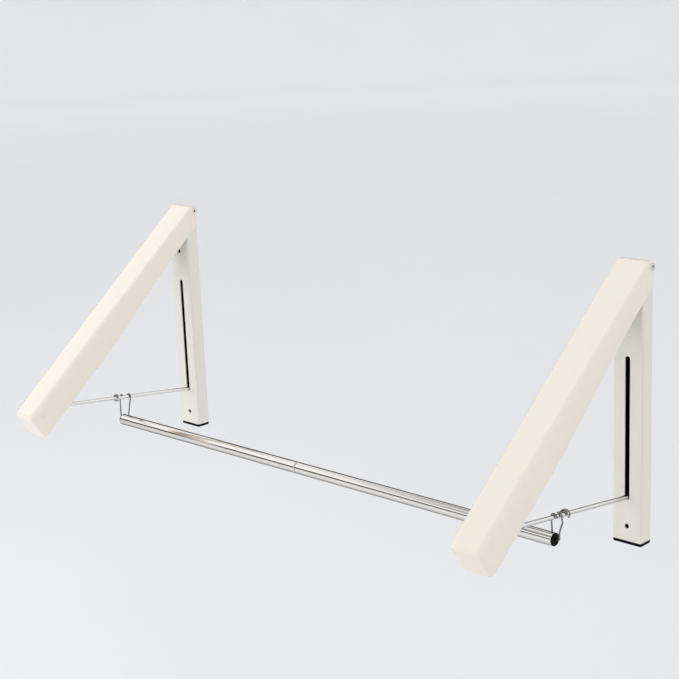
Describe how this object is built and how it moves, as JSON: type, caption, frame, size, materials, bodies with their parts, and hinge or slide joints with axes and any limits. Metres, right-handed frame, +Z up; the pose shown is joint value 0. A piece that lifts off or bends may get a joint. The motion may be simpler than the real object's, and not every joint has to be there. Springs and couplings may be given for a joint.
{
  "type": "wall mounted fold down drying rack",
  "caption": "Pair of slim wall units whose tapered arms fold down onto slotted wall brackets, with stays that prop them open and a round pole hung between the stays on wire loops.",
  "frame": {"origin": "on the wall plane, midway between the two wall brackets and level with their lower ends", "axes": "+X to the right along the pole, +Y into the wall, +Z up"},
  "size_m": [0.684, 0.26, 0.2773],
  "materials": {
    "arm_paint": "glossy ivory powder coat",
    "bracket_paint": "satin greyish ivory powder coat",
    "black_plastic": "black moulded",
    "polished_steel": "polished",
    "wire_steel": "bright drawn wire",
    "white_nylon": "moulded"
  },
  "bodies": {
    "wall_brackets": {"left_wall_bracket": "bracket_paint", "left_slide_guide": "black_plastic", "left_bottom_cap": "black_plastic", "left_hinge_pin": "arm_paint", "right_wall_bracket": "bracket_paint", "right_slide_guide": "black_plastic", "right_bottom_cap": "black_plastic", "right_hinge_pin": "arm_paint"},
    "left_arm": {"left_arm_cover": "arm_paint", "left_top_rivet": "wire_steel", "left_stay_pin": "arm_paint", "left_pin_sleeve_left": "white_nylon", "left_pin_sleeve_right": "white_nylon"},
    "left_stay": {"left_stay_rod": "polished_steel", "left_slide_head": "wire_steel"},
    "right_arm": {"right_arm_cover": "arm_paint", "right_top_rivet": "wire_steel", "right_stay_pin": "arm_paint", "right_pin_sleeve_left": "white_nylon", "right_pin_sleeve_right": "white_nylon"},
    "right_stay": {"right_stay_rod": "polished_steel", "right_slide_head": "wire_steel"},
    "pole": {"left_pole_tube": "polished_steel", "right_pole_tube": "polished_steel", "pole_sleeve": "polished_steel", "left_pole_plug": "black_plastic", "right_pole_plug": "black_plastic", "left_pole_loop": "wire_steel", "right_pole_loop": "wire_steel", "left_keeper_ring": "wire_steel", "right_keeper_ring": "wire_steel"}
  },
  "joints": [
    {"name": "left_arm_fold", "type": "hinge", "parent": "wall_brackets", "child": "left_arm", "pos_m": [-0.3235, -0.013, 0.2483], "axis": [1, 0, 0], "range_deg": [0, 50.8]},
    {"name": "right_arm_fold", "type": "hinge", "parent": "wall_brackets", "child": "right_arm", "pos_m": [0.3235, -0.013, 0.2483], "axis": [1, 0, 0], "range_deg": [0, 50.8]},
    {"name": "left_stay_swing", "type": "hinge", "parent": "left_arm", "child": "left_stay", "pos_m": [-0.3235, -0.24514, 0.07133], "axis": [1, 0, 0], "range_deg": [0, 42.55]},
    {"name": "right_stay_swing", "type": "hinge", "parent": "right_arm", "child": "right_stay", "pos_m": [0.3235, -0.24514, 0.07133], "axis": [1, 0, 0], "range_deg": [0, 42.55]},
    {"name": "pole_lift_off", "type": "slide", "parent": "wall_brackets", "child": "pole", "axis": [0, 0, -1], "range_m": [0, 0.3], "deforming": ["left_pole_loop", "right_pole_loop", "left_keeper_ring", "right_keeper_ring"]}
  ],
  "couplings": [
    {"joint": "right_arm_fold", "follows": "left_arm_fold", "ratio": 1},
    {"joint": "left_stay_swing", "follows": "left_arm_fold", "ratio": 0.83751},
    {"joint": "right_stay_swing", "follows": "left_arm_fold", "ratio": 0.83751},
    {"joint": "pole_lift_off", "follows": "left_arm_fold", "m_per_rad": 0.33835}
  ]
}
